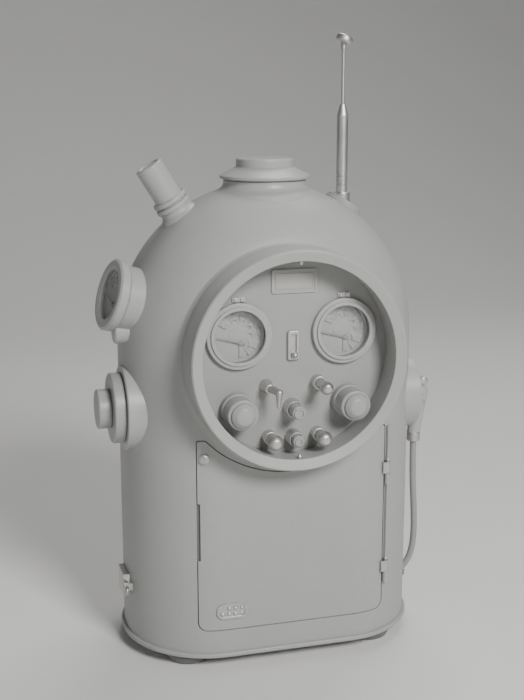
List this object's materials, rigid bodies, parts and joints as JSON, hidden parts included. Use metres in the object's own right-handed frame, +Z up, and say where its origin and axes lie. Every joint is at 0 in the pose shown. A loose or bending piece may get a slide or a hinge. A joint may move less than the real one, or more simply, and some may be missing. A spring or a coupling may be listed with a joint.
{
  "type": "portable radio transceiver",
  "caption": "Dome-topped portable radio set with a deep round instrument panel, hinged battery door, side controls, cable and rod antenna.",
  "frame": {"origin": "on the floor, under the middle of the cabinet", "axes": "+X to the right seen from the front, +Y towards the back, +Z up"},
  "size_m": [0.2878, 0.1818, 0.5038],
  "materials": {
    "battery_case": "wax-finished pressed board",
    "bright_metal": "turned aluminium, fine tool marks",
    "cabinet_enamel": "stove-enamelled steel with a fine hammered finish",
    "cable_sheath": "smooth vulcanised sheath",
    "card": "blank card in a thin frame",
    "clear_glass": "flat clear glass",
    "dark_rubber": "moulded, matt",
    "dial_paint": "matt printed dial",
    "knob_resin": "moulded phenolic resin, worn satin",
    "needle_paint": "matt paint",
    "panel_enamel": "fine wrinkle enamel",
    "plated_metal": "dull nickel plate",
    "ring_enamel": "smooth satin enamel on a cast and turned ring",
    "works_metal": "plain sheet"
  },
  "bodies": {
    "cabinet": {"antenna_base": "knob_resin", "antenna_mast": "bright_metal", "base_plate": "cabinet_enamel", "base_rim": "cabinet_enamel", "battery_pack": "battery_case", "bezel_collar": "ring_enamel", "bezel_ring": "ring_enamel", "cabinet_shell": "cabinet_enamel", "cable": "cable_sheath", "cable_gland": "dark_rubber", "cable_nut": "plated_metal", "chassis": "works_metal", "connector_plug": "ring_enamel", "connector_screws": "plated_metal", "control_bushings": "plated_metal", "door_seal": "dark_rubber", "feet": "dark_rubber", "gauge_bezels": "ring_enamel", "gauge_cases": "works_metal", "gauge_dials": "dial_paint", "gauge_glasses": "clear_glass", "hinge_fixed": "plated_metal", "instrument_panel": "panel_enamel", "label_frame": "card", "panel_clips": "plated_metal", "side_gauge_bezel": "ring_enamel", "side_gauge_dial": "dial_paint", "side_gauge_glass": "clear_glass", "side_gauge_mount": "ring_enamel", "side_knob_base": "ring_enamel", "slider_frame": "plated_metal", "socket_flange": "ring_enamel", "strap_anchor": "plated_metal", "stub_neck": "ring_enamel", "stub_tube": "ring_enamel", "switch_bodies": "knob_resin", "top_neck": "ring_enamel", "transformer": "works_metal", "valves": "clear_glass"},
    "door_leaf": {"door": "cabinet_enamel", "door_hinges": "plated_metal", "badge_plate": "bright_metal"},
    "latch": {"door_latch": "plated_metal"},
    "knob_l": {"knob_left": "knob_resin"},
    "knob_r": {"knob_right": "knob_resin"},
    "selector": {"selector_lever": "plated_metal"},
    "toggle_a": {"toggle_upper": "plated_metal"},
    "toggle_b": {"toggle_lower_left": "plated_metal"},
    "toggle_c": {"toggle_lower_right": "plated_metal"},
    "button_a": {"button_upper": "knob_resin"},
    "button_b": {"button_lower": "knob_resin"},
    "slider": {"slider_tab": "plated_metal"},
    "needle_l": {"gauge_needle_left": "needle_paint"},
    "needle_r": {"gauge_needle_right": "needle_paint"},
    "needle_side": {"side_gauge_needle": "needle_paint"},
    "dial_side": {"side_dial": "knob_resin"},
    "knob_side": {"side_knob": "knob_resin"},
    "cap": {"top_cap": "ring_enamel"},
    "whip": {"antenna_whip": "plated_metal"},
    "strap": {"strap_ring": "plated_metal"}
  },
  "joints": [
    {"name": "door_hinge", "type": "hinge", "parent": "cabinet", "child": "door_leaf", "pos_m": [0.08497, -0.07024, 0.11], "axis": [0, 0, 1], "range_deg": [0, 115]},
    {"name": "latch_turn", "type": "hinge", "parent": "door_leaf", "child": "latch", "pos_m": [-0.0702, -0.07311, 0.178], "axis": [0.2582, 0.9661, 0], "range_deg": [0, 90]},
    {"name": "knob_left_turn", "type": "hinge", "parent": "cabinet", "child": "knob_l", "pos_m": [-0.0445, -0.0746, 0.2175], "axis": [0, -1, 0], "range_deg": [-140, 140]},
    {"name": "knob_right_turn", "type": "hinge", "parent": "cabinet", "child": "knob_r", "pos_m": [0.0465, -0.0746, 0.2185], "axis": [0, -1, 0], "range_deg": [-140, 140]},
    {"name": "selector_turn", "type": "hinge", "parent": "cabinet", "child": "selector", "pos_m": [-0.0205, -0.0746, 0.234], "axis": [0, -1, 0], "range_deg": [-40, 60]},
    {"name": "toggle_upper_flip", "type": "hinge", "parent": "cabinet", "child": "toggle_a", "pos_m": [0.0215, -0.0787, 0.235], "axis": [1, 0, 0], "range_deg": [-12, 12]},
    {"name": "toggle_lower_left_flip", "type": "hinge", "parent": "cabinet", "child": "toggle_b", "pos_m": [-0.0185, -0.0787, 0.193], "axis": [1, 0, 0], "range_deg": [-12, 12]},
    {"name": "toggle_lower_right_flip", "type": "hinge", "parent": "cabinet", "child": "toggle_c", "pos_m": [0.0215, -0.0787, 0.193], "axis": [1, 0, 0], "range_deg": [-12, 12]},
    {"name": "button_upper_press", "type": "slide", "parent": "cabinet", "child": "button_a", "axis": [0, 1, 0], "range_m": [0, 0.003], "stiffness_N_per_m": 400},
    {"name": "button_lower_press", "type": "slide", "parent": "cabinet", "child": "button_b", "axis": [0, 1, 0], "range_m": [0, 0.003], "stiffness_N_per_m": 400},
    {"name": "slider_slide", "type": "slide", "parent": "cabinet", "child": "slider", "axis": [0, 0, 1], "range_m": [0, 0.013]},
    {"name": "needle_left_swing", "type": "hinge", "parent": "cabinet", "child": "needle_l", "pos_m": [-0.0395, -0.0718, 0.2685], "axis": [0, 1, 0], "range_deg": [-10, 100]},
    {"name": "needle_right_swing", "type": "hinge", "parent": "cabinet", "child": "needle_r", "pos_m": [0.0455, -0.0718, 0.2685], "axis": [0, 1, 0], "range_deg": [-10, 100]},
    {"name": "needle_side_swing", "type": "hinge", "parent": "cabinet", "child": "needle_side", "pos_m": [-0.13038, -0.02007, 0.29498], "axis": [0.9491, 0.1418, -0.2811], "range_deg": [-10, 100]},
    {"name": "side_knob_turn", "type": "hinge", "parent": "cabinet", "child": "knob_side", "pos_m": [-0.12215, -0.012, 0.208], "axis": [-1, 0, 0], "range_deg": [-1080, 1080]},
    {"name": "side_dial_turn", "type": "hinge", "parent": "cabinet", "child": "dial_side", "pos_m": [-0.12215, -0.012, 0.208], "axis": [-1, 0, 0], "range_deg": [-180, 180]},
    {"name": "top_cap_turn", "type": "hinge", "parent": "cabinet", "child": "cap", "pos_m": [0, 0, 0.3883], "axis": [0, 0, 1], "range_deg": [-90, 0]},
    {"name": "whip_slide", "type": "slide", "parent": "cabinet", "child": "whip", "axis": [0, 0, 1], "range_m": [-0.04, 0]},
    {"name": "strap_ring_swing", "type": "hinge", "parent": "cabinet", "child": "strap", "pos_m": [-0.1253, -0.022, 0.056], "axis": [0, 1, 0], "range_deg": [0, 75]}
  ],
  "couplings": [
    {"joint": "side_dial_turn", "follows": "side_knob_turn", "ratio": 0.16667}
  ]
}
